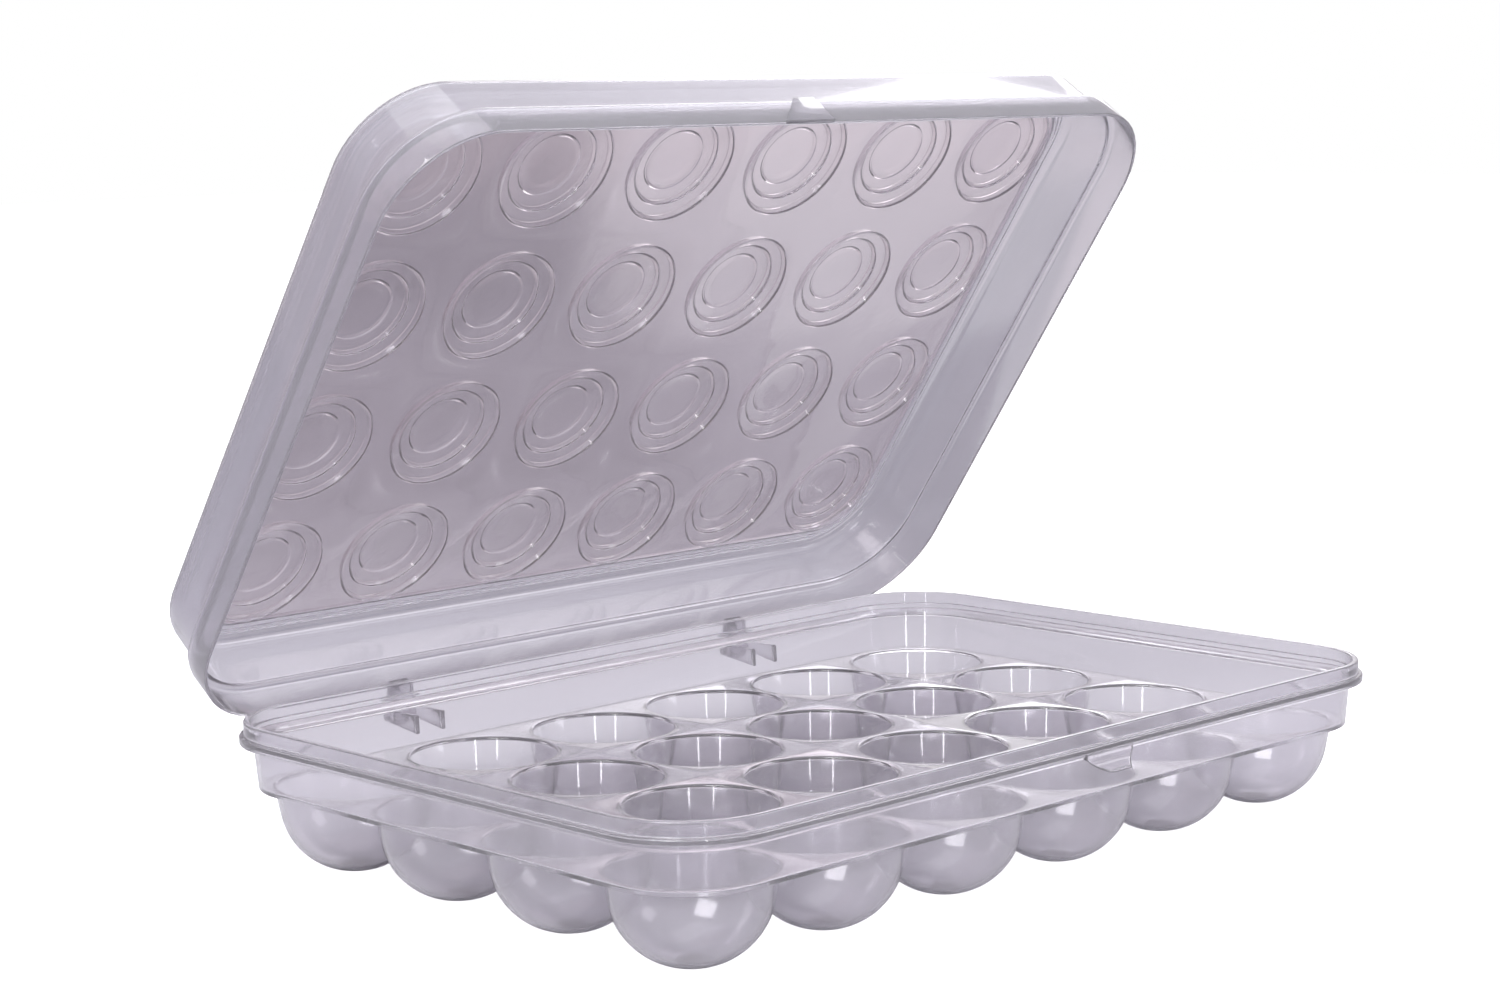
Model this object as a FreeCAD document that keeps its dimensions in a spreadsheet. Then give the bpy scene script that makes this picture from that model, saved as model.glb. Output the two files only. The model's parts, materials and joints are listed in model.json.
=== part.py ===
"""Egg storage box for 24 eggs: a tray with 6 x 4 round cups and a hinged lid.

Tray and lid are each one thin polypropylene moulding. Here the tray is split, face
to face, into 24 cups on the cup grid and four walls and four corners around them,
and the lid into its rim and its panel. Millimetres, +Z up. The origin is the middle
of the tray's footprint on the surface that it stands on. X runs along the long
side, and the finger tabs are on the -Y side, opposite the hinge. The lid is drawn
closed and then turned about the hinge line to its rest pose.
"""
import FreeCAD, Part
import math
import os
import Sketcher
from FreeCAD import Placement, Rotation, Vector

# Driving dimensions: alias, value, what it is.
DIMENSIONS = [
    ("cup_pitch", 50.0, "distance between neighbouring cup axes"),
    ("cup_columns", 6, "cups along X"),
    ("cup_rows", 4, "cups along Y"),
    ("wall_thick", 1.2, "moulded wall thickness"),
    ("cup_mouth", 24.3, "outside radius of a cup under the deck"),
    ("cup_round", 22.0, "radius of the arc that a cup's side follows"),
    ("cup_round_out", 1.15, "centre of that arc, out from the cup's axis"),
    ("cup_round_low", 80.0, "degrees below level where the arc leaves the foot"),
    ("cup_round_high", 10.5, "degrees below level where it turns straight"),
    ("mouth_offset", 0.81, "inner mouth's shift per wall thickness"),
    ("mouth_round", 0.8, "rounding where a cup opens into the deck"),
    ("mouth_run", 1.2, "width of the cut that makes that rounding"),
    ("deck_bottom", 25.9, "underside of the deck between the cups"),
    ("tray_margin", 2.8, "foot of the tray's wall, outside the cup cells"),
    ("corner_round", 24.8, "plan radius of a corner at the foot of the wall"),
    ("wall_flare", 1.1, "how far the tray's wall leans out to the flange"),
    ("flange_start", 38.5, "height where the flange bead leaves the wall"),
    ("flange_edge", 40.3, "height of the flange bead's lower edge"),
    ("flange_top", 42.8, "height of the flange bead's upper face"),
    ("flange_out", 5.4, "flange bead, outside the foot of the wall"),
    ("rim_out", 4.0, "rim band, outside the foot of the wall"),
    ("rim_thick", 2.0, "thickness of the rim band"),
    ("rim_top", 47.2, "height of the tray's rim"),
    ("seat_gap", 0.3, "gap between the rim and the closed lid's shoulder"),
    ("skirt_gap", 1.0, "gap between the flange and the closed lid's skirt"),
    ("skirt_depth", 10.7, "lid's skirt, below its shoulder"),
    ("lid_wall_out", 3.5, "inside of the lid's wall, outside the tray wall's foot"),
    ("lid_lean", 0.5, "how far the lid's wall leans in to the top"),
    ("lid_height", 30.5, "lid, from its lip to the top of its edge"),
    ("lid_edge_round", 3.0, "outer rounding of the lid's top edge"),
    ("panel_inset", 7.4, "edge of the lid's panel, in from the tray wall's foot"),
    ("panel_slope", 1.6, "run of the slope around the panel"),
    ("panel_drop", 2.9, "panel, below the lid's top edge"),
    ("dome_ring", 20.3, "outer ring of a dome"),
    ("dome_step", 15.9, "middle ring of a dome"),
    ("dome_cap", 11.3, "inner ring of a dome"),
    ("dome_low", 2.0, "first step of a dome, above the panel"),
    ("dome_high", 4.2, "second step of a dome, above the panel"),
    ("dome_top", 5.0, "top of a dome, above the panel"),
    ("small_round", 0.6, "rounding of the small edges"),
    ("tab_width", 21.0, "width of each finger tab"),
    ("tab_thick", 1.4, "thickness of a finger tab"),
    ("tab_bottom", 34.8, "height of the tray tab's finger edge"),
    ("tab_reach", 3.0, "tray tab's finger edge, outside the flange"),
    ("tab_round", 0.5, "rounding of the finger edge"),
    ("tab_start", 38.1, "height where the tray tab's sides start to slant"),
    ("tab_left_cut", 8.0, "how far its left side slants in"),
    ("tab_right_cut", 4.0, "how far its right side slants in"),
    ("tab_slant", 8.4, "how far the lid tab's side slants in"),
    ("hinge_behind", 118.0, "hinge axis, behind the origin"),
    ("hinge_height", 34.0, "hinge axis, above the ground"),
    ("hinge_span", 150.0, "distance between the two hinges"),
    ("pin_radius", 1.4, "hinge pin, moulded with the tray"),
    ("pin_gap", 0.3, "clearance around the pin"),
    ("clip_radius", 2.9, "outside of the lid's hinge clip"),
    ("clip_width", 8.0, "length of a hinge clip"),
    ("clip_slot", 2.3, "slot that lets a clip snap onto its pin"),
    ("arm_reach", 1.5, "top edge of a clip's arm, behind the hinge axis"),
    ("arm_rise", 1.8, "top edge of a clip's arm, above the hinge axis"),
    ("arm_round", 0.8, "rounding of that edge"),
    ("arm_root", 41.0, "height of that arm's top at the skirt, with the lid closed"),
    ("ear_thick", 1.6, "thickness of a hinge ear"),
    ("ear_gap", 0.4, "side clearance between a clip and an ear"),
    ("ear_radius", 2.0, "rounding of an ear around the pin"),
    ("ear_root", 30.0, "height of the bottom of a hinge ear at the wall"),
    ("ear_top", 36.0, "height of the top of a hinge ear at the wall"),
    ("open_angle", 55.0, "degrees that the lid stands open at rest"),
]

# Heights and offsets that follow from the sheet, as expressions. Offsets are
# measured outwards from the foot of the tray's wall.
HALF_X = "(Sizes.cup_pitch * Sizes.cup_columns / 2 + Sizes.tray_margin)"
HALF_Y = "(Sizes.cup_pitch * Sizes.cup_rows / 2 + Sizes.tray_margin)"
FIRST_X = "(Sizes.cup_pitch * (1 - Sizes.cup_columns) / 2)"
FIRST_Y = "(Sizes.cup_pitch * (1 - Sizes.cup_rows) / 2)"
ROW_LETTERS = "abcd"
DECK_TOP = "(Sizes.deck_bottom + Sizes.wall_thick)"
SHOULDER = "(Sizes.rim_top + Sizes.seat_gap)"
LIP = f"({SHOULDER} - Sizes.skirt_depth)"
LID_TOP = f"({LIP} + Sizes.lid_height)"
PANEL_TOP = f"({LID_TOP} - Sizes.panel_drop)"
PANEL_BOTTOM = f"({PANEL_TOP} - Sizes.wall_thick)"
SKIRT_IN = "(Sizes.flange_out + Sizes.skirt_gap)"
SKIRT_OUT = f"({SKIRT_IN} + Sizes.wall_thick)"
FLANGE_FRONT = f"(-{HALF_Y} - Sizes.flange_out)"
SKIRT_FRONT = f"(-{HALF_Y} - {SKIRT_OUT})"

# How far joined forms run into each other, and cuts run past a face.
OVERLAP = 1.0
# A distance under this counts as on an axis.
TINY = 1e-9
# Straight bands that the arc of a cup's side is turned in, within 0.12 mm of it.
CUP_BANDS = 6

doc = FreeCAD.newDocument("EggStorageBox")


def make_sheet():
    """The spreadsheet with the driving dimensions, one alias per row."""
    made = doc.addObject("Spreadsheet::Sheet", "Sizes")
    for row, (alias, value, note) in enumerate(DIMENSIONS, start=1):
        made.set(f"A{row}", alias)
        made.set(f"B{row}", str(value))
        made.set(f"C{row}", note)
        made.setAlias(f"B{row}", alias)
    doc.recompute()
    return made


sheet = make_sheet()


def value_of(expression):
    """The value of a sheet expression, for a sketch's first guess."""
    return float(sheet.evalExpression(str(expression)))


def new_body(label):
    """A PartDesign body. Its Label names its file."""
    body = doc.addObject("PartDesign::Body", label)
    body.Label = label
    return body


def origin_feature(body, role):
    """One of the body's own origin planes or axes."""
    return next(item for item in body.Origin.OriginFeatures if item.Role == role)


def new_sketch(body, name, role, across="0", depth="0"):
    """A sketch on an origin plane, moved along its own x and its normal."""
    sketch = body.newObject("Sketcher::SketchObject", name)
    sketch.AttachmentSupport = [(origin_feature(body, role), "")]
    sketch.MapMode = "FlatFace"
    sketch.setExpression("AttachmentOffset.Base.x", across)
    sketch.setExpression("AttachmentOffset.Base.z", depth)
    return sketch


def pin(sketch, geometry, end, name, point):
    """Hold one point of a sketch at the place that two expressions give."""
    for axis, expression in zip("XY", point):
        guess = value_of(expression)
        if abs(guess) < TINY:
            on_axis = -2 if axis == "X" else -1
            sketch.addConstraint(Sketcher.Constraint("PointOnObject", geometry, end, on_axis))
            continue
        rule = Sketcher.Constraint(f"Distance{axis}", -1, 1, geometry, end, guess)
        index = sketch.addConstraint(rule)
        sketch.renameConstraint(index, f"{name}{axis}")
        sketch.setExpression(f"Constraints.{name}{axis}", str(expression))


def set_radius(sketch, geometry, name, expression):
    """Give an arc or circle the radius of an expression."""
    rule = Sketcher.Constraint("Radius", geometry, value_of(expression))
    index = sketch.addConstraint(rule)
    sketch.renameConstraint(index, name)
    sketch.setExpression(f"Constraints.{name}", str(expression))


def corner_guess(before, corner, after, radius):
    """Arc that rounds one corner: start point, end point, centre."""
    towards = (before - corner).normalize()
    away = (after - corner).normalize()
    half = towards.getAngle(away) / 2
    run = radius / math.tan(half)
    middle = (towards + away).normalize()
    centre = corner + middle * (radius / math.sin(half))
    return corner + towards * run, corner + away * run, centre


def arc_between(start, end, centre):
    """The short arc from start to end, and whether it runs anticlockwise."""
    left_turn = (start - centre).cross(end - centre).z > 0
    first, last = (start, end) if left_turn else (end, start)
    angles = [math.atan2((p - centre).y, (p - centre).x) for p in (first, last)]
    if angles[1] < angles[0]:
        angles[1] += 2 * math.pi
    circle = Part.Circle(centre, Vector(0, 0, 1), (start - centre).Length)
    return Part.ArcOfCircle(circle, *angles), left_turn


def outline(sketch, corners):
    """A closed outline through corners (x, y, rounding), all tied to the sheet."""
    points = [Vector(value_of(x), value_of(y), 0) for x, y, _ in corners]
    count = len(corners)
    starts, ends, arcs = {}, {}, {}
    for i, (_, _, rounding) in enumerate(corners):
        starts[i] = ends[i] = points[i]
        if rounding:
            before, after = points[i - 1], points[(i + 1) % count]
            arcs[i] = corner_guess(before, points[i], after, value_of(rounding))
            starts[i], ends[i] = arcs[i][0], arcs[i][1]
    lines = []
    for i in range(count):
        segment = Part.LineSegment(ends[i], starts[(i + 1) % count])
        lines.append(sketch.addGeometry(segment, False))
    for i, (x, y, rounding) in enumerate(corners):
        incoming, outgoing = lines[i - 1], lines[i]
        if not rounding:
            sketch.addConstraint(Sketcher.Constraint("Coincident", incoming, 2, outgoing, 1))
            pin(sketch, outgoing, 1, f"corner{i}", (x, y))
            continue
        arc, left_turn = arc_between(*arcs[i])
        curve = sketch.addGeometry(arc, False)
        first, last = (1, 2) if left_turn else (2, 1)
        sketch.addConstraint(Sketcher.Constraint("Tangent", incoming, 2, curve, first))
        sketch.addConstraint(Sketcher.Constraint("Tangent", outgoing, 1, curve, last))
        set_radius(sketch, curve, f"round{i}", rounding)
        apex = sketch.addGeometry(Part.Point(points[i]), True)
        sketch.addConstraint(Sketcher.Constraint("PointOnObject", apex, 1, incoming))
        sketch.addConstraint(Sketcher.Constraint("PointOnObject", apex, 1, outgoing))
        pin(sketch, apex, 1, f"corner{i}", (x, y))


def plan_corners(offset):
    """A rounded rectangle in plan, starting halfway up its +X side."""
    x = f"({HALF_X} + {offset})"
    y = f"({HALF_Y} + {offset})"
    rounding = f"(Sizes.corner_round + {offset})"
    return [(x, "0", None), (x, y, rounding), (f"-{x}", y, rounding),
            (f"-{x}", f"-{y}", rounding), (x, f"-{y}", rounding)]


def sweep_round(body, name, section):
    """Sweep a section, given as offsets and heights, around the plan."""
    path = new_sketch(body, f"{name}Path", "XY_Plane")
    outline(path, plan_corners("0"))
    profile = new_sketch(body, f"{name}Section", "XZ_Plane")
    outline(profile, [(f"({HALF_X} + {u})", v, r) for u, v, r in section])
    pipe = body.newObject("PartDesign::AdditivePipe", name)
    pipe.Profile = profile
    pipe.Spine = (path, [""])
    doc.recompute()
    return pipe


def plate(body, name, corners, bottom):
    """A flat plate in plan, one wall thickness thick, from a given height up."""
    sketch = new_sketch(body, f"{name}Outline", "XY_Plane", depth=bottom)
    outline(sketch, corners)
    pad = body.newObject("PartDesign::Pad", name)
    pad.Profile = sketch
    pad.setExpression("Length", "Sizes.wall_thick")
    doc.recompute()
    return pad


def repeat_over_cups(body, feature, name):
    """Repeat a feature made at the first cup over every cup."""
    pattern = body.newObject("PartDesign::MultiTransform", name)
    steps = []
    for role, count in (("X_Axis", "Sizes.cup_columns"), ("Y_Axis", "Sizes.cup_rows")):
        step = doc.addObject("PartDesign::LinearPattern", f"{name}Along{role[0]}")
        step.Direction = (origin_feature(body, role), [""])
        step.setExpression("Length", f"Sizes.cup_pitch * ({count} - 1)")
        step.setExpression("Occurrences", count)
        body.addObject(step)
        steps.append(step)
    pattern.Originals = [feature]
    pattern.Transformations = steps
    body.Tip = pattern
    doc.recompute()
    return pattern


def turned(body, kind, name, corners, axis=(FIRST_X, FIRST_Y), angle=360):
    """Turn a profile of (radius, height, rounding) about an upright axis."""
    across, along = axis
    sketch = new_sketch(body, f"{name}Profile", "XZ_Plane", across=across, depth=f"-{along}")
    outline(sketch, corners)
    feature = body.newObject(f"PartDesign::{kind}", name)
    feature.Profile = sketch
    feature.ReferenceAxis = (sketch, ["V_Axis"])
    feature.Angle = abs(angle)
    feature.Reversed = angle < 0
    doc.recompute()
    return feature


def extruded(body, kind, name, role, corners, middle, width):
    """Extrude an outline both ways from its middle, to a whole width."""
    sketch = new_sketch(body, f"{name}Outline", role, depth=middle)
    outline(sketch, corners)
    feature = body.newObject(f"PartDesign::{kind}", name)
    feature.Profile = sketch
    feature.Midplane = True
    feature.setExpression("Length", width)
    doc.recompute()
    return feature


def deck_square(column, row, axis):
    """One cup's square of the deck, round where it is the tray's corner."""
    half = "Sizes.cup_pitch / 2"
    last_column = value_of("Sizes.cup_columns") - 1
    last_row = value_of("Sizes.cup_rows") - 1
    corners = []
    for side_x, side_y in (("+", "-"), ("+", "+"), ("-", "+"), ("-", "-")):
        at_end = column == (last_column if side_x == "+" else 0)
        at_side = row == (last_row if side_y == "+" else 0)
        rounding = "(Sizes.corner_round - Sizes.tray_margin)" if at_end and at_side else None
        corners.append((f"({axis[0]} {side_x} {half})", f"({axis[1]} {side_y} {half})", rounding))
    return corners


def cup_side(inset):
    """Corners of a cup's side from its foot up, in straight bands along an arc."""
    corners = []
    for k in range(CUP_BANDS + 1):
        share = k / CUP_BANDS
        angle = f"(Sizes.cup_round_low * {1 - share} + Sizes.cup_round_high * {share})"
        radius = f"(Sizes.cup_round - {inset})"
        height = f"(Sizes.cup_round * sin(Sizes.cup_round_low) - {radius} * sin({angle}))"
        corners.append((f"(Sizes.cup_round_out + {radius} * cos({angle}))", height, None))
    return corners


def make_cup(column, row):
    """A round cup with its square of the deck, hollow and rounded at the mouth."""
    body = new_body(f"cup_{ROW_LETTERS[row]}{column + 1}")
    axis = (f"({FIRST_X} + Sizes.cup_pitch * {column})", f"({FIRST_Y} + Sizes.cup_pitch * {row})")
    plate(body, "Deck", deck_square(column, row, axis), "Sizes.deck_bottom")
    top = f"({DECK_TOP} - Sizes.wall_thick / 2)"
    turned(body, "Revolution", "Form", [
        ("0", "0", None), *cup_side("0"), ("Sizes.cup_mouth", "Sizes.deck_bottom", None),
        ("Sizes.cup_mouth", top, None), ("0", top, None)], axis)
    mouth = "(Sizes.cup_mouth - Sizes.mouth_offset * Sizes.wall_thick)"
    edge = f"({mouth} + Sizes.mouth_run)"
    above = f"({DECK_TOP} + {OVERLAP})"
    side = cup_side("Sizes.wall_thick")
    turned(body, "Groove", "Hollow", [
        ("0", side[0][1], None), *side,
        (mouth, DECK_TOP, "Sizes.mouth_round"), (edge, DECK_TOP, None),
        (edge, above, None), ("0", above, None)], axis)
    return body


def tray_section():
    """Strip of deck, wall, flange bead and rim band of the tray."""
    small = "Sizes.small_round"
    rim_in = "(Sizes.rim_out - Sizes.rim_thick)"
    wall_in = "(Sizes.wall_flare - Sizes.wall_thick)"
    return [
        ("0", "Sizes.deck_bottom", small),
        ("Sizes.wall_flare", "Sizes.flange_start", small),
        ("Sizes.flange_out", "Sizes.flange_edge", small),
        ("Sizes.flange_out", "Sizes.flange_top", small),
        ("Sizes.rim_out", "Sizes.flange_top", "Sizes.small_round / 2"),
        ("Sizes.rim_out", "Sizes.rim_top", small),
        (rim_in, "Sizes.rim_top", small),
        (rim_in, "Sizes.flange_top", small),
        (wall_in, "Sizes.flange_edge", small),
        ("-Sizes.wall_thick", DECK_TOP, small),
        ("-Sizes.tray_margin", DECK_TOP, None),
        ("-Sizes.tray_margin", "Sizes.deck_bottom", None),
    ]


def add_tray_tab(body):
    """Finger tab under the flange, with a lower edge that sticks out."""
    front = FLANGE_FRONT
    back = f"({front} + Sizes.tab_thick)"
    tip = f"({front} - Sizes.tab_reach)"
    bottom = "Sizes.tab_bottom"
    lower = "(Sizes.tab_bottom + Sizes.tab_thick)"
    upper = "(Sizes.flange_edge + Sizes.small_round)"
    bend = "Sizes.tab_round"
    extruded(body, "Pad", "TrayTab", "YZ_Plane", [
        (back, upper, None), (back, bottom, None), (tip, bottom, bend),
        (tip, lower, bend), (front, lower, bend), (front, upper, None)],
        "(Sizes.tab_width / 2)", "Sizes.tab_width")
    below = f"({bottom} - {OVERLAP})"
    width = "Sizes.tab_width"
    for side, edge, inner in (("Left", "0", "Sizes.tab_left_cut"),
                              ("Right", width, f"({width} - Sizes.tab_right_cut)")):
        extruded(body, "Pocket", f"TrayTab{side}Cut", "XZ_Plane", [
            (edge, "Sizes.tab_start", None), (edge, below, None),
            (inner, below, None), (inner, bottom, "Sizes.tab_thick")],
            f"(-{front})", f"(2 * (Sizes.tab_reach + {OVERLAP}))")


def hinge_middles():
    """The middles of the two hinges along X, as expressions."""
    return [("Left", "(-Sizes.hinge_span / 2)"), ("Right", "(Sizes.hinge_span / 2)")]


def add_hinge_ears(body):
    """Two ears and a pin at each hinge, moulded with the tray."""
    root = f"({HALF_Y} - Sizes.wall_thick / 2)"
    behind, height, bend = "Sizes.hinge_behind", "Sizes.hinge_height", "Sizes.ear_radius"
    step = "((Sizes.clip_width + Sizes.ear_thick) / 2 + Sizes.ear_gap)"
    for side, middle in hinge_middles():
        for number, sign in ((1, "-"), (2, "+")):
            extruded(body, "Pad", f"{side}Ear{number}", "YZ_Plane", [
                (root, "Sizes.ear_root", None),
                (f"{behind} + {bend}", f"{height} - {bend}", bend),
                (f"{behind} + {bend}", f"{height} + {bend}", bend),
                (f"{behind} - {bend}", f"{height} + {bend}", None),
                (root, "Sizes.ear_top", None)],
                f"({middle} {sign} {step})", "Sizes.ear_thick")
        add_round(body, "Pad", f"{side}Pin", middle, "Sizes.pin_radius", f"2 * {step}")


def add_round(body, kind, name, middle, radius, width):
    """A round boss or bore on the hinge axis."""
    sketch = new_sketch(body, f"{name}Circle", "YZ_Plane", depth=middle)
    centre = Vector(value_of("Sizes.hinge_behind"), value_of("Sizes.hinge_height"), 0)
    circle = sketch.addGeometry(Part.Circle(centre, Vector(0, 0, 1), value_of(radius)), False)
    pin(sketch, circle, 3, "centre", ("Sizes.hinge_behind", "Sizes.hinge_height"))
    set_radius(sketch, circle, "radius", radius)
    feature = body.newObject(f"PartDesign::{kind}", name)
    feature.Profile = sketch
    feature.Midplane = True
    feature.setExpression("Length", width)
    doc.recompute()
    return feature


def make_tray_walls():
    """Four straight walls of the tray, with its finger tab and hinge ears."""
    walls = {}
    for name, role, sign, half, other in (
            ("front", "YZ_Plane", "-", HALF_Y, HALF_X), ("back", "YZ_Plane", "", HALF_Y, HALF_X),
            ("left", "XZ_Plane", "-", HALF_X, HALF_Y), ("right", "XZ_Plane", "", HALF_X, HALF_Y)):
        walls[name] = new_body(f"tray_{name}")
        profile = [(f"{sign}({half} + ({u}))", v, r) for u, v, r in tray_section()]
        length = f"2 * ({other} - Sizes.corner_round)"
        extruded(walls[name], "Pad", "Wall", role, profile, "0", length)
    add_tray_tab(walls["front"])
    add_hinge_ears(walls["back"])
    return list(walls.values())


def make_tray_corners():
    """Four round corners of the tray, each a quarter turn of the wall's section."""
    centre_x = f"({HALF_X} - Sizes.corner_round)"
    centre_y = f"({HALF_Y} - Sizes.corner_round)"
    corners = []
    for along, side_y in (("front", "-"), ("back", "")):
        for across, side_x in (("left", "-"), ("right", "")):
            body = new_body(f"tray_corner_{along}_{across}")
            profile = [(f"{side_x}(Sizes.corner_round + ({u}))", v, r)
                       for u, v, r in tray_section()]
            axis = (f"{side_x}{centre_x}", f"{side_y}{centre_y}")
            turned(body, "Revolution", "Corner", profile, axis, 90 if side_x == side_y else -90)
            corners.append(body)
    return corners


def make_cups():
    """Every cup, row by row from the front."""
    rows = range(int(value_of("Sizes.cup_rows")))
    columns = range(int(value_of("Sizes.cup_columns")))
    return [make_cup(column, row) for row in rows for column in columns]


def lid_section():
    """Skirt, shoulder, wall and raised edge of the lid, in to its panel."""
    small = "Sizes.small_round"
    thick = "Sizes.wall_thick"
    wall_in = "Sizes.lid_wall_out"
    wall_out = f"({wall_in} + {thick})"
    slope_top = "(Sizes.panel_slope - Sizes.panel_inset)"
    return [
        (SKIRT_OUT, LIP, f"{thick} / 3"),
        (SKIRT_OUT, f"{SHOULDER} + {thick}", f"{small} + {thick}"),
        (wall_out, f"{SHOULDER} + {thick}", small),
        (f"{wall_out} - Sizes.lid_lean", LID_TOP, "Sizes.lid_edge_round"),
        (slope_top, LID_TOP, small),
        ("-Sizes.panel_inset", PANEL_TOP, None),
        ("-Sizes.panel_inset", PANEL_BOTTOM, None),
        (f"-Sizes.panel_inset + {thick}", PANEL_BOTTOM, small),
        (f"{slope_top} + {thick}", f"{LID_TOP} - {thick}", small),
        (f"{wall_in} - Sizes.lid_lean", f"{LID_TOP} - {thick}",
         f"Sizes.lid_edge_round - {thick}"),
        (wall_in, SHOULDER, f"{small} / 2"),
        (SKIRT_IN, SHOULDER, small),
        (SKIRT_IN, LIP, f"{thick} / 3"),
    ]


def add_domes(body):
    """Stepped round domes in the panel, one over each egg."""
    drop = "(Sizes.small_round / 2)"
    riser = "(Sizes.wall_thick / 2)"

    def steps(base, inset):
        """Outline of one dome's steps, on a base height, drawn in by inset."""
        return [
            ("0", f"{base} + Sizes.dome_top", None),
            (f"Sizes.dome_cap - {riser} - {inset}", f"{base} + Sizes.dome_top", None),
            (f"Sizes.dome_cap - {inset}", f"{base} + Sizes.dome_high", None),
            (f"Sizes.dome_step - {riser} - {inset}", f"{base} + Sizes.dome_high - {drop}", None),
            (f"Sizes.dome_step - {inset}", f"{base} + Sizes.dome_low + {drop}", None),
            (f"Sizes.dome_ring - {riser} - {inset}", f"{base} + Sizes.dome_low", None),
        ]

    solid = turned(body, "Revolution", "DomeForm", steps(PANEL_TOP, "0") + [
        ("Sizes.dome_ring", PANEL_TOP, None),
        ("Sizes.dome_ring", f"{PANEL_TOP} - {riser}", None),
        ("0", f"{PANEL_TOP} - {riser}", None)])
    repeat_over_cups(body, solid, "DomeForms")
    below = f"{PANEL_BOTTOM} - {OVERLAP}"
    hollow = turned(body, "Groove", "DomeHollow", steps(PANEL_BOTTOM, riser) + [
        (f"Sizes.dome_ring - {riser}", PANEL_BOTTOM, None),
        (f"Sizes.dome_ring - {riser}", below, None),
        ("0", below, None)])
    repeat_over_cups(body, hollow, "DomeHollows")


def add_lid_tab(body):
    """Flat lift tab that bridges the lid's skirt and shoulder."""
    top = f"({SHOULDER} + Sizes.wall_thick)"
    extruded(body, "Pad", "LidTab", "XZ_Plane", [
        ("-Sizes.tab_width", LIP, None), ("0", LIP, None), ("0", top, None),
        ("-Sizes.tab_slant", top, "Sizes.tab_thick")],
        f"(-{SKIRT_FRONT})", "Sizes.tab_thick")


def add_hinge_clips(body):
    """Two clips that snap onto the tray's pins, on arms from the skirt."""
    root = f"({HALF_Y} + {SKIRT_OUT} - Sizes.wall_thick / 2)"
    behind, height = "Sizes.hinge_behind", "Sizes.hinge_height"
    bore = "(Sizes.pin_radius + Sizes.pin_gap)"
    wide = f"Sizes.clip_width + {OVERLAP}"
    mouth = f"({behind} + Sizes.pin_radius / 2)"
    past = f"({behind} + Sizes.clip_radius * 2)"
    low, high = (f"({height} {sign} Sizes.clip_slot / 2)" for sign in "-+")
    for side, middle in hinge_middles():
        extruded(body, "Pad", f"{side}ClipArm", "YZ_Plane", [
            (root, f"{LIP} + Sizes.small_round", None),
            (f"{behind} - {bore}", f"{height} + Sizes.small_round", None),
            (f"{behind} + Sizes.arm_reach", f"{height} + Sizes.arm_rise", "Sizes.arm_round"),
            (root, "Sizes.arm_root", None)],
            middle, "Sizes.clip_width")
        add_round(body, "Pad", f"{side}Clip", middle, "Sizes.clip_radius", "Sizes.clip_width")
        add_round(body, "Pocket", f"{side}ClipBore", middle, bore, wide)
        extruded(body, "Pocket", f"{side}ClipSlot", "YZ_Plane", [
            (mouth, low, None), (past, low, None), (past, high, None), (mouth, high, None)],
            middle, wide)


def make_lid_rim():
    """The lid's skirt, wall and raised edge, its lift tab and hinge clips."""
    body = new_body("lid_rim")
    sweep_round(body, "LidWall", lid_section())
    add_lid_tab(body)
    add_hinge_clips(body)
    open_lid(body)
    return body


def make_lid_panel():
    """The lid's flat panel with its domes."""
    body = new_body("lid_panel")
    plate(body, "Panel", plan_corners("(-Sizes.panel_inset)"), PANEL_BOTTOM)
    add_domes(body)
    open_lid(body)
    return body


def open_lid(body):
    """Turn the closed lid about the hinge axis to its rest pose."""
    turn, back, up = "Sizes.open_angle", "Sizes.hinge_behind", "Sizes.hinge_height"
    hinge = Vector(0, value_of(back), value_of(up))
    body.Placement = Placement(Vector(), Rotation(Vector(-1, 0, 0), value_of(turn)), hinge)
    body.setExpression("Placement.Base.y", f"{back} * (1 - cos({turn})) - {up} * sin({turn})")
    body.setExpression("Placement.Base.z", f"{up} * (1 - cos({turn})) + {back} * sin({turn})")
    body.setExpression("Placement.Rotation.Angle", turn)
    doc.recompute()


def check(bodies):
    """Stop with a plain message if anything in the document failed."""
    for item in doc.Objects:
        if "Invalid" in item.State or "Error" in item.State:
            raise RuntimeError(f"{item.Name}: {item.State}")
    for body in bodies:
        shape = body.Shape
        if shape.isNull() or not shape.isValid() or len(shape.Solids) != 1:
            raise RuntimeError(f"{body.Label}: bad shape")


def write(bodies):
    """Write one STEP file per piece."""
    os.makedirs("parts", exist_ok=True)
    for body in bodies:
        body.Shape.exportStep(f"parts/{body.Label}.step")
        box = body.Shape.BoundBox
        print(body.Label, round(body.Shape.Volume), "mm3", box)


pieces = [*make_tray_walls(), *make_tray_corners(), *make_cups(), make_lid_rim(), make_lid_panel()]
check(pieces)
write(pieces)
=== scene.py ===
"""Egg storage box for 24 eggs: fine shapes, materials, studio and camera.

Lengths are millimetres until a mesh is made, and metres from there on. Offsets
are measured outwards from the foot of the tray's wall, as in the CAD model. The
lid is drawn closed and then turned about the hinge to its rest pose.
"""
import json
import math
import bmesh
import bpy
from mathutils import Matrix, Quaternion, Vector


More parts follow.
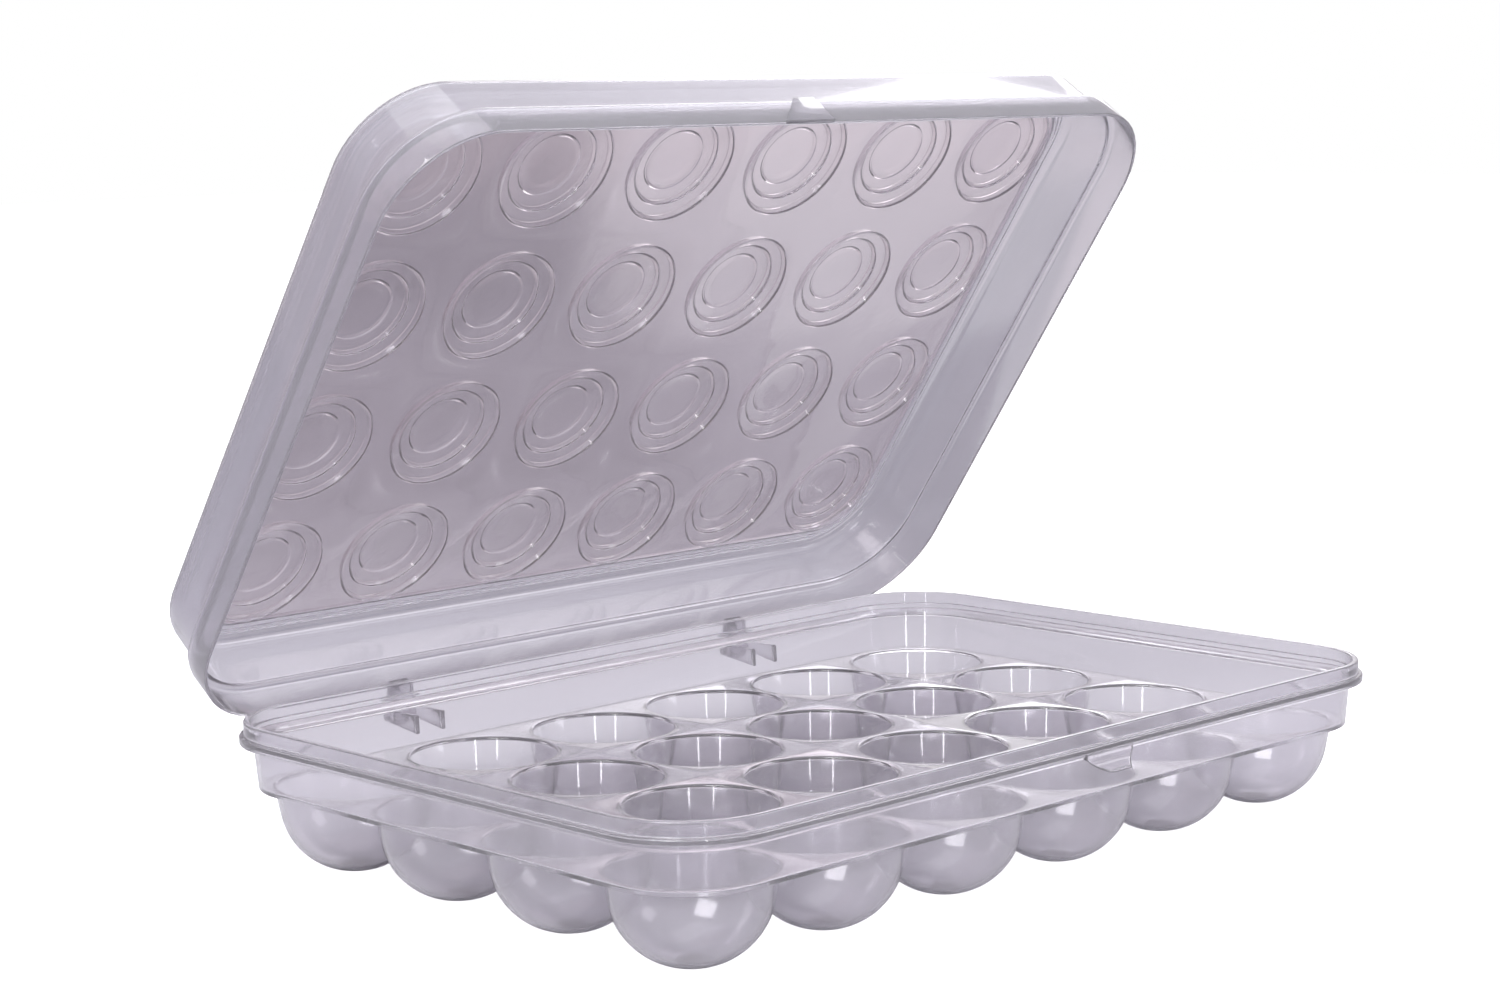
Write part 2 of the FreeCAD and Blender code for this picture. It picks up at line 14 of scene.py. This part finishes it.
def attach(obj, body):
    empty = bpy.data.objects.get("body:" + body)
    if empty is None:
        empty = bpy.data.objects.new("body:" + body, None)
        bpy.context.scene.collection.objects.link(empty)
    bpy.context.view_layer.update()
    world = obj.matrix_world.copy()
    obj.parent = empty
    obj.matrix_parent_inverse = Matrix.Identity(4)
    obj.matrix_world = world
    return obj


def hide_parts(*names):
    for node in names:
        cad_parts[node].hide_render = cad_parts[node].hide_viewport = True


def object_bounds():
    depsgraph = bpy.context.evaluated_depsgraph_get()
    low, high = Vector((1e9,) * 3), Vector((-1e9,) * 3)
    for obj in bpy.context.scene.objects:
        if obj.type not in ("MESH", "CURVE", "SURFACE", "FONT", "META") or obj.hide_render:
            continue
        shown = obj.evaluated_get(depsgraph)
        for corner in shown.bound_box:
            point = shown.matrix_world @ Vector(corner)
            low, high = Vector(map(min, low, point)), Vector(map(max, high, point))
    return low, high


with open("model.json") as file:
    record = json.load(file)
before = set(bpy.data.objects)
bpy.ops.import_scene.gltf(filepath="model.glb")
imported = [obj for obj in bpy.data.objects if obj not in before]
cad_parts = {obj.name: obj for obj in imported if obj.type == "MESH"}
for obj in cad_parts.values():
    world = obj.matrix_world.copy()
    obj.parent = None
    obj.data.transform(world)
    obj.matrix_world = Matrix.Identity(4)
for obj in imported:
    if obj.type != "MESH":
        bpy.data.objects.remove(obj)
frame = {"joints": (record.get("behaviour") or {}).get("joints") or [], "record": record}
cad_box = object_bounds()

MM = 0.001
PITCH = 50.0
COLUMNS = 6
ROWS = 4
CORNER = 24.8
THICK = 1.2
SPOKES = 56

# A cup's or dome's innermost ring, which one small flat face fills.
MIDDLE = 0.6

# Usual roundings of the mouldings' bends.
SOFT = 0.6
FINE = 0.3

# How far a round stretch may stray from its true arc, and its largest step.
ARC_ERROR = 0.015
ARC_STEP = math.radians(24)

DECK_BOTTOM = 25.9
DECK_TOP = DECK_BOTTOM + THICK
FLANGE_OUT = 5.4
FLANGE_LOW = 40.3
FLANGE_TOP = 42.8
RIM_TOP = 47.2

SHOULDER = 47.5
LIP = 36.8
LID_TOP = 67.3
PANEL_TOP = 64.4
PANEL_BOTTOM = PANEL_TOP - THICK
PANEL_INSET = 7.4
PANEL_SLOPE = 1.6
SKIRT_IN = 6.4
SKIRT_OUT = SKIRT_IN + THICK

TAB_WIDTH = 21.0
TAB_THICK = 1.4

# Where the cells' sheets end and the walls' sweeps begin, inside the wall's foot.
TRAY_EDGE = 2.4
LID_EDGE = 7.6

# A wall's line starts and ends this far inside its sheet, so that its bends have room.
RUN_IN = 1.0

# The foot of the tray's wall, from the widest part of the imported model, the lid's skirt.
HALF_X = cad_box[1].x / MM - SKIRT_OUT
HALF_Y = HALF_X - PITCH * (COLUMNS - ROWS) / 2
FRONT = -HALF_Y - FLANGE_OUT

hinge = frame["joints"][0]
HINGE = Vector(hinge["pos_m"]) / MM
OPEN_ANGLE = math.radians(-hinge["range_deg"][0])


# ---------------------------------------------------------------- outlines

def rounded_line(corners):
    """A polyline through corners (x, y, rounding), with each rounding as an arc."""
    points = []
    for i, (x, y, rounding) in enumerate(corners):
        corner = Vector((x, y))
        if not rounding:
            points.append(corner)
            continue
        towards = (Vector(corners[i - 1][:2]) - corner).normalized()
        away = (Vector(corners[i + 1][:2]) - corner).normalized()
        half = towards.angle(away) / 2
        centre = corner + (towards + away).normalized() * (rounding / math.sin(half))
        first = corner + towards * (rounding / math.tan(half)) - centre
        last = corner + away * (rounding / math.tan(half)) - centre
        turn = first.angle_signed(last)
        step = min(ARC_STEP, 2 * math.acos(1 - ARC_ERROR / rounding))
        count = max(2, math.ceil(abs(turn) / step))
        for k in range(count + 1):
            angle = -turn * k / count
            points.append(centre + Matrix.Rotation(angle, 2) @ first)
    return points


def cell_rim(column, row, offset):
    """Where a cell's spokes end, from the cup's axis, and the way out of the plan.

    The way out is None on an edge that the cell shares with a neighbour.
    """
    ends = []
    for k in range(SPOKES):
        quadrant, step = divmod(k, SPOKES // 4)
        angle = math.radians(360 * step / SPOKES)
        side_x = 1 if quadrant in (0, 3) else -1
        side_y = 1 if quadrant in (0, 1) else -1
        if quadrant in (1, 3):
            angle = math.pi / 2 - angle
        last_x = column == (COLUMNS - 1 if side_x > 0 else 0)
        last_y = row == (ROWS - 1 if side_y > 0 else 0)
        reach_x = HALF_X + offset - (COLUMNS - 1) * PITCH / 2 if last_x else PITCH / 2
        reach_y = HALF_Y + offset - (ROWS - 1) * PITCH / 2 if last_y else PITCH / 2
        if angle <= math.pi / 4:
            end = Vector((reach_x, reach_y * math.tan(angle)))
        else:
            end = Vector((reach_x / math.tan(angle), reach_y))
        out = None
        if last_x and angle <= math.pi / 4 + 1e-6:
            out = Vector((1, 0))
        elif last_y and angle >= math.pi / 4 - 1e-6:
            out = Vector((0, 1))
        if last_x and last_y:
            radius = CORNER + offset
            centre = Vector((reach_x - radius, reach_y - radius))
            end, out = onto_corner(end, centre, radius, out)
        sides = Vector((side_x, side_y))
        ends.append((end * sides, out * sides if out else None))
    return ends


def onto_corner(end, centre, radius, out):
    """Move a spoke's end onto the round corner, if the spoke leaves through it."""
    a = end.dot(end)
    b = end.dot(centre)
    c = centre.dot(centre) - radius * radius
    hit = end * ((b + math.sqrt(b * b - a * c)) / a)
    if hit.x > centre.x and hit.y > centre.y:
        return hit, (hit - centre) / radius
    return end, out


class Skin:
    """Points and faces of one closed skin, in millimetres."""

    def __init__(self):
        self.points = []
        self.faces = []
        self.shared = {}

    def point(self, place, shared=False):
        """Index of a new point, or of the shared one that is already there."""
        key = tuple(round(value, 3) for value in place)
        if shared and key in self.shared:
            return self.shared[key]
        self.points.append(place)
        if shared:
            self.shared[key] = len(self.points) - 1
        return len(self.points) - 1

    def band(self, ring, following):
        """Faces between two rings with as many points."""
        for k in range(len(ring)):
            after = (k + 1) % len(ring)
            self.faces.append((ring[k], ring[after], following[after], following[k]))

    def add_cells(self, form, offset, level):
        """One round form, as (radius, height) from its axis out, in every cell.

        Returns the sheet's outer edge: point index, place and way out, in order.
        """
        edge = {}
        widest = form[-1][0]
        for column in range(COLUMNS):
            for row in range(ROWS):
                axis = cup_axis(column, row)
                rim = cell_rim(column, row, offset)
                ring = None
                for radius, height in form:
                    places = [axis + spoke(end, radius, widest) for end, _ in rim]
                    following = [self.point((*place, height)) for place in places]
                    if ring:
                        self.band(ring, following)
                    else:
                        self.faces.append(tuple(following))
                    ring = following
                following = []
                for end, out in rim:
                    index = self.point((*(axis + end), level), shared=True)
                    following.append(index)
                    if out:
                        edge[index] = (index, axis + end, out)
                self.band(ring, following)
        return sorted(edge.values(), key=lambda item: math.atan2(item[1].y, item[1].x))

    def add_wall(self, start, finish, line, offset):
        """Sweep a line of (offset, height) from one sheet's edge to the other's."""
        ring = [index for index, _, _ in start]
        for u, height in line:
            places = [place + out * (u - offset) for _, place, out in start]
            following = [self.point((*place, height)) for place in places]
            self.band(ring, following)
            ring = following
        self.band(ring, [index for index, _, _ in finish])


def cup_axis(column, row):
    """Where a cup stands in plan."""
    return Vector((column - (COLUMNS - 1) / 2, row - (ROWS - 1) / 2)) * PITCH


def spoke(end, radius, widest):
    """A point on a spoke, drawn in a little where the widest ring has no room."""
    margin, fade = 0.985, 4
    room = min(1.0, margin * end.length / widest)
    return end.normalized() * radius * (1 - (1 - room) * (radius / widest) ** fade)


def make_piece(name, mesh, body, material):
    """A smooth-shaded piece that rides on a body and has a material."""
    piece = bpy.data.objects.new(name, mesh)
    bpy.context.scene.collection.objects.link(piece)
    mesh.materials.append(material)
    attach(piece, body)
    return piece


def finished_mesh(name, bm, place):
    """A smooth mesh in metres from millimetres, put in place."""
    for face in bm.faces:
        face.smooth = True
    mesh = bpy.data.meshes.new(name)
    bm.to_mesh(mesh)
    bm.free()
    if place:
        mesh.transform(place)
    mesh.transform(Matrix.Scale(MM, 4))
    return mesh


def skin_mesh(name, skin, place=None):
    """A mesh from a skin, turned out the right way."""
    bm = bmesh.new()
    points = [bm.verts.new(p) for p in skin.points]
    for face in skin.faces:
        bm.faces.new([points[i] for i in face])
    bmesh.ops.recalc_face_normals(bm, faces=bm.faces)
    return finished_mesh(name, bm, place)


# ---------------------------------------------------------------- tray

def cup_form(inset):
    """A cup's side from its axis out to the deck, drawn in by inset.

    The shares are how far the knee and the lip move in with the skin, which keeps the
    side's thickness even.
    """
    foot, mouth, beyond = 4.8, 24.3, 24.9
    knee, knee_rise, knee_round, knee_share = 20.0, 2.7, 22.0, 0.865
    lip_share, lip_drop, lip_round, lip_growth = 0.81, 0.02, 0.45, 0.3
    shift = knee_share * inset
    top = DECK_BOTTOM + inset
    lip = mouth - lip_share * inset
    return rounded_line([
        (MIDDLE, inset, None), (foot, inset, None),
        (knee - shift, knee_rise + shift, knee_round - inset),
        (lip, top - lip_drop, lip_round + lip_growth * inset), (beyond, top, None)])[:-1]


def tray_wall_line():
    """The tray's wall, from under the deck, over the rim and down to the deck."""
    lean, wall_top = 1.1, 38.5
    rim_in, rim_out = 2.0, 4.0
    inner_lean = -0.1
    start = -TRAY_EDGE - RUN_IN
    return rounded_line([
        (start, DECK_BOTTOM, None), (0, DECK_BOTTOM, SOFT), (lean, wall_top, SOFT),
        (FLANGE_OUT, FLANGE_LOW, SOFT), (FLANGE_OUT, FLANGE_TOP, SOFT),
        (rim_out, FLANGE_TOP, FINE), (rim_out, RIM_TOP, SOFT), (rim_in, RIM_TOP, SOFT),
        (rim_in, FLANGE_TOP, SOFT), (inner_lean, FLANGE_LOW, SOFT), (-THICK, DECK_TOP, SOFT),
        (start, DECK_TOP, None)])[1:-1]


def make_tray(material):
    """The tray: wall, rim, deck and cups in one skin."""
    skin = Skin()
    outer = skin.add_cells(cup_form(0.0), -TRAY_EDGE, DECK_BOTTOM)
    inner = skin.add_cells(cup_form(THICK), -TRAY_EDGE, DECK_TOP)
    skin.add_wall(outer, inner, tray_wall_line(), -TRAY_EDGE)
    mesh = skin_mesh("tray_shell", skin)
    return make_piece("tray_shell", mesh, "tray", material)


# ---------------------------------------------------------------- lid

def dome_form(base, inset):
    """A dome's steps from its axis out, on a base height, drawn in by inset."""
    ring, step, cap, crown = 20.3, 15.9, 11.3, 5.6
    low, high, edge, top = 2.0, 4.2, 4.7, 5.0
    riser, bend, crown_bend = 0.6, 0.3, 60.0
    line = rounded_line([
        (MIDDLE, base + top, None), (crown, base + top, crown_bend),
        (cap - riser - inset, base + edge, bend / 2),
        (cap - inset, base + high, bend / 2),
        (step - riser - inset, base + high - bend, bend),
        (step - inset, base + low + bend, bend),
        (ring - riser - inset, base + low, bend),
        (ring - inset, base, bend), (ring + 2 * bend - inset, base, None)])
    return line[:-1]


def bead(middle, level):
    """A fine ridge inside the lid's raised edge, as three more corners."""
    half, height = 0.45, 0.35
    foot_round, top_round = 0.12, 0.2
    return [(middle + half, level, foot_round), (middle, level - height, top_round),
            (middle - half, level, foot_round)]


def lid_wall_line():
    """The lid, from its panel's top, over the edge, round the lip and back in."""
    wall_in = 3.5
    wall_out = wall_in + THICK
    lean = 0.5
    outer_bead, inner_bead = -1.0, -2.6
    edge_round, shoulder_round, lip_round = 3.0, 1.8, 0.4
    slope_top = PANEL_SLOPE - PANEL_INSET
    start = -LID_EDGE - RUN_IN
    ceiling = LID_TOP - THICK
    return rounded_line([
        (start, PANEL_TOP, None), (-PANEL_INSET, PANEL_TOP, FINE),
        (slope_top, LID_TOP, SOFT), (wall_out - lean, LID_TOP, edge_round),
        (wall_out, SHOULDER + THICK, SOFT), (SKIRT_OUT, SHOULDER + THICK, shoulder_round),
        (SKIRT_OUT, LIP, lip_round), (SKIRT_IN, LIP, lip_round), (SKIRT_IN, SHOULDER, SOFT),
        (wall_in, SHOULDER, FINE), (wall_in - lean, ceiling, edge_round - THICK),
        *bead(outer_bead, ceiling), *bead(inner_bead, ceiling),
        (slope_top + THICK, ceiling, SOFT), (THICK - PANEL_INSET, PANEL_BOTTOM, SOFT),
        (start, PANEL_BOTTOM, None)])[1:-1]


def opened():
    """The turn about the hinge from the closed lid to its rest pose."""
    turn = Matrix.Rotation(OPEN_ANGLE, 4, Vector(hinge["axis"]))
    return Matrix.Translation(HINGE) @ turn @ Matrix.Translation(-HINGE)


def make_lid(wall_material, panel_painted_light_material):
    """The lid: skirt, wall, edge, panel and domes in one skin. The panel's faces get a second
    material, a darker and pinker copy with painted shade and a painted warm reflection.
    """
    skin = Skin()
    outer = skin.add_cells(dome_form(PANEL_TOP, 0.0), -LID_EDGE, PANEL_TOP)
    inner = skin.add_cells(dome_form(PANEL_BOTTOM, THICK / 2), -LID_EDGE, PANEL_BOTTOM)
    panel_faces = len(skin.faces)
    skin.add_wall(outer, inner, lid_wall_line(), -LID_EDGE)
    mesh = skin_mesh("lid_shell", skin, opened())
    lid = make_piece("lid_shell", mesh, "lid", wall_material)
    mesh.materials.append(panel_painted_light_material)
    # The panel's faces take the second material: painted shade and a painted warm reflection.
    for face in mesh.polygons[:panel_faces]:
        face.material_index = 1
    return lid


# ---------------------------------------------------------------- tabs and hinges

def prism_mesh(name, outline, along, low, high, place=None):
    """A prism with rounded edges, from an outline that is swept along X or Y.

    The outline's points are (y, z) for a sweep along X, and (x, z) for one along Y.
    """
    edge, steps, sharp_angle = 0.25, 3, math.radians(40)
    bm = bmesh.new()
    ring = []
    for a, height in outline:
        spot = (low, a, height) if along == "X" else (a, low, height)
        ring.append(bm.verts.new(spot))
    face = bm.faces.new(ring)
    step = Vector([high - low if axis == along else 0 for axis in "XYZ"])
    grown = bmesh.ops.extrude_face_region(bm, geom=[face])["geom"]
    moved = [item for item in grown if isinstance(item, bmesh.types.BMVert)]
    bmesh.ops.translate(bm, verts=moved, vec=step)
    bmesh.ops.recalc_face_normals(bm, faces=bm.faces)
    sharp = [e for e in bm.edges if e.calc_face_angle(0) > sharp_angle]
    bmesh.ops.bevel(bm, geom=sharp, offset=edge, segments=steps, profile=0.5, affect="EDGES",
                    clamp_overlap=True)
    return finished_mesh(name, bm, place)


def arc(centre, radius, start, end, count):
    """Points on an arc, with angles in degrees."""
    a, b = centre
    points = []
    for k in range(count + 1):
        angle = math.radians(start + (end - start) * k / count)
        points.append((a + radius * math.cos(angle), b + radius * math.sin(angle)))
    return points


def tab_sheet(skin, columns, rows, depth):
    """One side of the finger tab, as a grid of points, at a depth into its thickness.

    The lower edge rises towards both ends. The curl starts late, so that the tab passes
    inside the closed lid's lip and only comes out under it.
    """
    width, bottom, reach = TAB_WIDTH, 34.8, 3.0
    left_cut, right_cut, cut_share, cut_power = 8.0, 4.0, 0.75, 1.3
    curl_power, thinning = 4, 0.3
    top = FLANGE_LOW + SOFT
    sheet = []
    for i in range(columns + 1):
        x = width * i / columns
        rise = max(1 - x / left_cut, 1 - (width - x) / right_cut, 0)
        low = bottom + (top - bottom) * cut_share * rise ** cut_power
        line = []
        for j in range(rows + 1):
            z = top + (low - top) * j / rows
            curl = ((top - z) / (top - bottom)) ** curl_power
            y = FRONT - reach * curl + depth * (1 - thinning * curl)
            line.append(skin.point((x, y, z)))
        sheet.append(line)
    return sheet


def tray_tab_mesh():
    """Finger tab under the flange: its lower edge curls outwards and narrows."""
    columns, rows = 28, 10
    skin = Skin()
    front = tab_sheet(skin, columns, rows, 0)
    back = tab_sheet(skin, columns, rows, TAB_THICK)
    for sheet in (front, back):
        for i in range(columns):
            for j in range(rows):
                left, right = sheet[i], sheet[i + 1]
                skin.faces.append((left[j], right[j], right[j + 1], left[j + 1]))
    for j in range(rows):
        for i in (0, columns):
            skin.faces.append((front[i][j], front[i][j + 1], back[i][j + 1], back[i][j]))
    for i in range(columns):
        for j in (0, rows):
            skin.faces.append((front[i][j], front[i + 1][j], back[i + 1][j], back[i][j]))
    return skin_mesh("tray_finger_tab", skin)


def make_tabs(tray_material, lid_material):
    """The tray's finger tab and the lid's lift tab, side by side at the front."""
    make_piece("tray_finger_tab", tray_tab_mesh(), "tray", tray_material)
    slant = 8.4
    front = -HALF_Y - SKIRT_OUT
    low, high = front - TAB_THICK / 2, front + TAB_THICK / 2
    outline = [(-TAB_WIDTH, LIP), (0, LIP), (0, SHOULDER + THICK), (-slant, SHOULDER + THICK)]
    mesh = prism_mesh("lid_lift_tab", outline, "Y", low, high, opened())
    make_piece("lid_lift_tab", mesh, "lid", lid_material)


def hinge_outlines():
    """Outlines of a hinge's ear, pin and clip, as (y, z) across the hinge line."""
    line = (HINGE.y, HINGE.z)
    pin_radius, bore, clip_radius, ear_radius = 1.4, 1.7, 2.9, 2.0
    ear_low, ear_high = 30.0, 36.0
    arm_low, arm_high = LIP + 0.8, 41.0
    slot = 38
    ear_root = HALF_Y - THICK / 2
    arm_root = HALF_Y + SKIRT_OUT - THICK / 2
    ear = [(ear_root, ear_low), *arc(line, ear_radius, -60, 90, 10), (ear_root, ear_high)]
    pin = arc(line, pin_radius, 0, 345, 23)
    clip = [*arc(line, clip_radius, 90, slot, 6), *arc(line, bore, slot, 360 - slot, 20),
            *arc(line, clip_radius, 360 - slot, 200, 12),
            (arm_root, arm_low), (arm_root, arm_high)]
    return ear, pin, clip


def make_hinges(tray_material, lid_material):
    """Ears and a pin on the tray and a snap clip on the lid, at each hinge."""
    span, clip_width, ear_thick, ear_gap = 150.0, 8.0, 1.6, 0.4
    ear, pin, clip = hinge_outlines()
    for side, middle in (("left", -span / 2), ("right", span / 2)):
        step = (clip_width + ear_thick) / 2 + ear_gap
        for number, place in ((1, middle - step), (2, middle + step)):
            mesh = prism_mesh(f"hinge_ear_{side}_{number}", ear, "X",
                              place - ear_thick / 2, place + ear_thick / 2)
            make_piece(mesh.name, mesh, "tray", tray_material)
        mesh = prism_mesh(f"hinge_pin_{side}", pin, "X", middle - step, middle + step)
        make_piece(mesh.name, mesh, "tray", tray_material)
        mesh = prism_mesh(f"hinge_clip_{side}", clip, "X", middle - clip_width / 2,
                          middle + clip_width / 2, opened())
        make_piece(mesh.name, mesh, "lid", lid_material)


# ---------------------------------------------------------------- materials

def polypropylene(name, dark, light, haze, clear, seed):
    """Milky clear plastic with faint flow marks, a fine grain and a polished skin.

    dark and light are the two tints that it varies between, haze is its roughness and
    clear is the share of light that passes.
    """
    least, most = 0.8 * haze, 1.25 * haze
    material = bpy.data.materials.new(name)
    material.use_nodes = True
    nodes, links = material.node_tree.nodes, material.node_tree.links
    shader = nodes["Principled BSDF"]
    shader.inputs["IOR"].default_value = 1.49
    shader.inputs["Transmission Weight"].default_value = clear
    shader.inputs["Coat Weight"].default_value = 0.8
    shader.inputs["Coat Roughness"].default_value = 0.04
    place = nodes.new("ShaderNodeTexCoord")
    cloud = nodes.new("ShaderNodeTexNoise")
    cloud.noise_dimensions = "4D"
    cloud.inputs["W"].default_value = seed
    cloud.inputs["Scale"].default_value = 14
    cloud.inputs["Detail"].default_value = 3
    links.new(place.outputs["Object"], cloud.inputs["Vector"])
    tint = nodes.new("ShaderNodeMix")
    tint.data_type = "RGBA"
    tint.inputs["A"].default_value = (*dark, 1)
    tint.inputs["B"].default_value = (*light, 1)
    links.new(cloud.outputs["Fac"], tint.inputs["Factor"])
    links.new(tint.outputs["Result"], shader.inputs["Base Color"])
    grain = nodes.new("ShaderNodeTexNoise")
    grain.inputs["Scale"].default_value = 420
    grain.inputs["Detail"].default_value = 2
    links.new(place.outputs["Object"], grain.inputs["Vector"])
    rough = nodes.new("ShaderNodeMapRange")
    rough.inputs["To Min"].default_value = least
    rough.inputs["To Max"].default_value = most
    links.new(grain.outputs["Fac"], rough.inputs["Value"])
    links.new(rough.outputs["Result"], shader.inputs["Roughness"])
    wave = nodes.new("ShaderNodeBump")
    wave.inputs["Strength"].default_value = 0.12
    wave.inputs["Distance"].default_value = 0.001
    links.new(cloud.outputs["Fac"], wave.inputs["Height"])
    fine = nodes.new("ShaderNodeBump")
    fine.inputs["Strength"].default_value = 0.05
    fine.inputs["Distance"].default_value = 0.0002
    links.new(grain.outputs["Fac"], fine.inputs["Height"])
    links.new(wave.outputs["Normal"], fine.inputs["Normal"])
    links.new(fine.outputs["Normal"], shader.inputs["Normal"])
    return material


def floor_with_painted_light_pool(name, middle, around, reach, glow):
    """Matt paint with a painted pool of light: paler in the middle and greyer further out, with a
    glow that only the camera sees.

    reach is how far from the middle, in metres, the painted pool of light fades out.
    """
    material = bpy.data.materials.new(name)
    material.use_nodes = True
    shader = material.node_tree.nodes["Principled BSDF"]
    shader.inputs["Roughness"].default_value = 0.9
    shader.inputs["Emission Color"].default_value = (1, 1, 1, 1)
    nodes, links = material.node_tree.nodes, material.node_tree.links
    place = nodes.new("ShaderNodeTexCoord")
    size = nodes.new("ShaderNodeMapping")
    size.inputs["Scale"].default_value = (1 / reach, 1 / reach, 1 / reach)
    # The paler middle is a painted pool of light round the box.
    fade = nodes.new("ShaderNodeTexGradient")
    fade.gradient_type = "SPHERICAL"
    links.new(place.outputs["Object"], size.inputs["Vector"])
    links.new(size.outputs["Vector"], fade.inputs["Vector"])
    tint = nodes.new("ShaderNodeMix")
    tint.data_type = "RGBA"
    tint.inputs["A"].default_value = (*around, 1)
    tint.inputs["B"].default_value = (*middle, 1)
    links.new(fade.outputs["Fac"], tint.inputs["Factor"])
    links.new(tint.outputs["Result"], shader.inputs["Base Color"])
    path = nodes.new("ShaderNodeLightPath")
    shown = nodes.new("ShaderNodeMath")
    shown.operation = "MULTIPLY"
    shown.inputs[1].default_value = glow
    links.new(path.outputs["Is Camera Ray"], shown.inputs[0])
    links.new(shown.outputs["Value"], shader.inputs["Emission Strength"])
    return material


# ---------------------------------------------------------------- studio

def make_floor():
    """A wide pale floor with a painted pool of light in the middle."""
    mesh = bpy.data.meshes.new("floor")
    half = 6.0
    mesh.from_pydata([(-half, -half, 0), (half, -half, 0), (half, half, 0), (-half, half, 0)], [],
                     [(0, 1, 2, 3)])
    floor = bpy.data.objects.new("floor", mesh)
    bpy.context.scene.collection.objects.link(floor)
    # pale is the painted pool of light in the middle, grey the floor further out.
    pale, grey = (0.86, 0.85, 0.88), (0.34, 0.33, 0.36)
    mesh.materials.append(floor_with_painted_light_pool("floor_with_painted_light_pool", pale, grey, 0.7, 1.0))


def add_softbox(name, place, target, size, power):
    """A white area light that is aimed at a point and that the camera never sees."""
    light = bpy.data.lights.new(name, "AREA")
    light.shape = "RECTANGLE"
    light.size, light.size_y = size
    light.energy = power
    item = bpy.data.objects.new(name, light)
    item.location = place
    item.rotation_mode = "QUATERNION"
    item.rotation_quaternion = (Vector(target) - Vector(place)).to_track_quat("-Z", "Y")
    item.visible_camera = False
    bpy.context.scene.collection.objects.link(item)


def make_world():
    """White where the camera looks past the box, and softer grey light all round it."""
    world = bpy.data.worlds.new("studio")
    world.use_nodes = True
    nodes, links = world.node_tree.nodes, world.node_tree.links
    background = nodes["Background"]
    place = nodes.new("ShaderNodeTexCoord")
    split = nodes.new("ShaderNodeSeparateXYZ")
    links.new(place.outputs["Generated"], split.inputs["Vector"])
    ramp = nodes.new("ShaderNodeValToRGB")
    ramp.color_ramp.elements[0].position = 0.0
    ramp.color_ramp.elements[0].color = (0.47, 0.43, 0.47, 1)
    ramp.color_ramp.elements[1].position = 0.9
    ramp.color_ramp.elements[1].color = (0.86, 0.86, 0.92, 1)
    links.new(split.outputs["Z"], ramp.inputs["Fac"])
    path = nodes.new("ShaderNodeLightPath")
    pick = nodes.new("ShaderNodeMix")
    pick.data_type = "RGBA"
    pick.inputs["B"].default_value = (1, 1, 1, 1)
    links.new(path.outputs["Is Camera Ray"], pick.inputs["Factor"])
    links.new(ramp.outputs["Color"], pick.inputs["A"])
    links.new(pick.outputs["Result"], background.inputs["Color"])
    bpy.context.scene.world = world


def make_camera():
    """The camera at the reference angle: round, up, away and a slight roll."""
    target = Vector((0.002, 0.032, 0.1035))
    azimuth, elevation, roll = (math.radians(a) for a in (-43.77, 7.71, -1.09))
    distance = 0.942
    camera = bpy.data.cameras.new("camera")
    camera.lens = 70.8
    camera.sensor_width = 36
    item = bpy.data.objects.new("camera", camera)
    item.rotation_mode = "QUATERNION"
    aim = Quaternion((0, 0, 1), azimuth) @ Quaternion((1, 0, 0), math.pi / 2 - elevation)
    item.rotation_quaternion = aim @ Quaternion((0, 0, 1), roll)
    item.location = target + aim @ Vector((0, 0, distance))
    bpy.context.scene.collection.objects.link(item)
    bpy.context.scene.camera = item


make_camera()
make_world()
make_floor()
add_softbox("key", (-1.4, -0.5, 1.5), (0, 0, 0.1), (1.0, 1.0), 17)
add_softbox("fill", (1.2, -1.4, 1.0), (0, 0, 0.1), (0.8, 1.2), 5)
add_softbox("top", (0, 0.3, 2.0), (0, 0, 0), (1.6, 1.6), 5)
add_softbox("strip_left", (-1.5, -0.75, 0.5), (0, 0, 0.03), (0.05, 1.0), 1.5)
add_softbox("strip_right", (-0.8, -1.5, 0.5), (0, 0, 0.03), (0.05, 1.0), 1.5)
add_softbox("rim", (1.6, 1.2, 1.1), (0.1, 0, 0.1), (0.9, 1.0), 5)
add_softbox("back", (1.65, 1.2, 0.3), (0.1, 0.1, 0.15), (1.1, 0.9), 1.0)
tray_plastic = polypropylene(
    "tray_plastic", (0.90, 0.88, 0.925), (0.96, 0.945, 0.98), haze=0.09, clear=0.91, seed=3.0)
lid_plastic = polypropylene(
    "lid_plastic", (0.87, 0.85, 0.90), (0.94, 0.925, 0.97), haze=0.10, clear=0.87, seed=7.0)
# The panel's plastic is the lid's, made darker and pinker: painted shade and a painted warm
# reflection.
panel_painted_light_plastic = polypropylene(
    "panel_painted_light_plastic", (0.85, 0.785, 0.83), (0.93, 0.87, 0.91), haze=0.10, clear=0.88, seed=7.0)
tray = make_tray(tray_plastic)
lid = make_lid(lid_plastic, panel_painted_light_plastic)
make_tabs(tray_plastic, lid_plastic)
make_hinges(tray_plastic, lid_plastic)
nodes_of = frame["record"]["behaviour"]["bodies"]
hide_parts(*nodes_of["tray"])
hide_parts(*nodes_of["lid"])
bpy.context.scene.view_settings.view_transform = "Standard"
